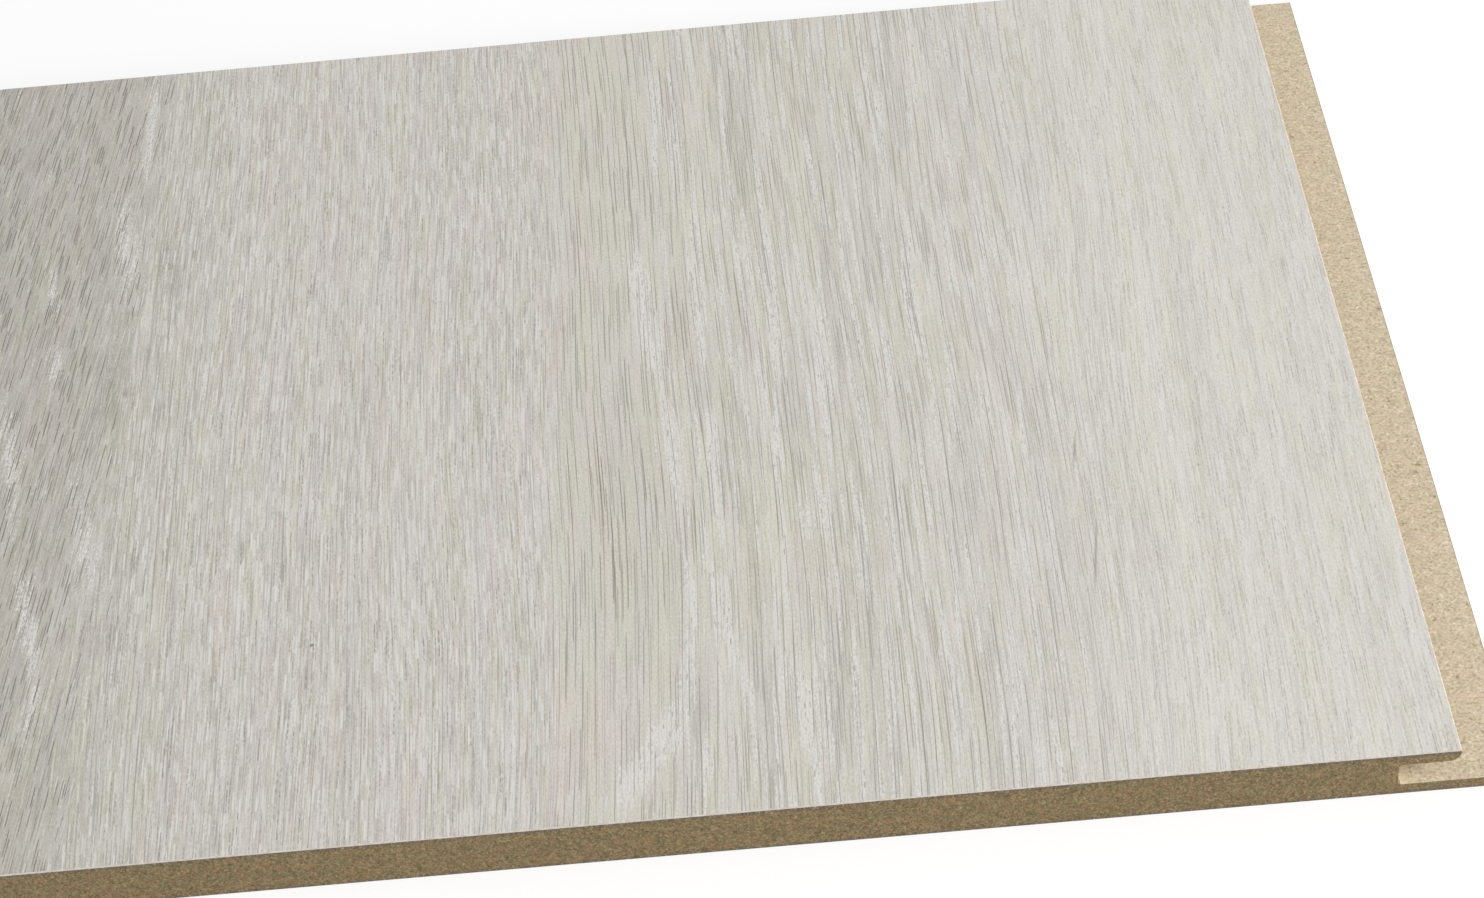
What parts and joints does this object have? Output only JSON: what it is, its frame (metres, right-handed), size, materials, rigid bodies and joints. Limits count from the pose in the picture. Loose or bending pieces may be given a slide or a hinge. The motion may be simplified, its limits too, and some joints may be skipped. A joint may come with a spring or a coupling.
{
  "type": "mdf wall panel",
  "caption": "Flat MDF wall panel piece with a pale limed-oak print film on its face, a tongue along one long edge and a groove with a long fixing flange along the other.",
  "frame": {"origin": "middle of the overall footprint, on the back face that goes to the wall", "axes": "+X across the panel from the tongue edge to the groove edge, +Y along the grain and the milled edges, +Z from the back to the film-covered face"},
  "size_m": [0.3214, 0.25, 0.01],
  "materials": {
    "mdf": "matte",
    "oak_print_film": "satin"
  },
  "bodies": {
    "root": {"mdf_board": "mdf", "decor_film": "oak_print_film"}
  },
  "joints": []
}
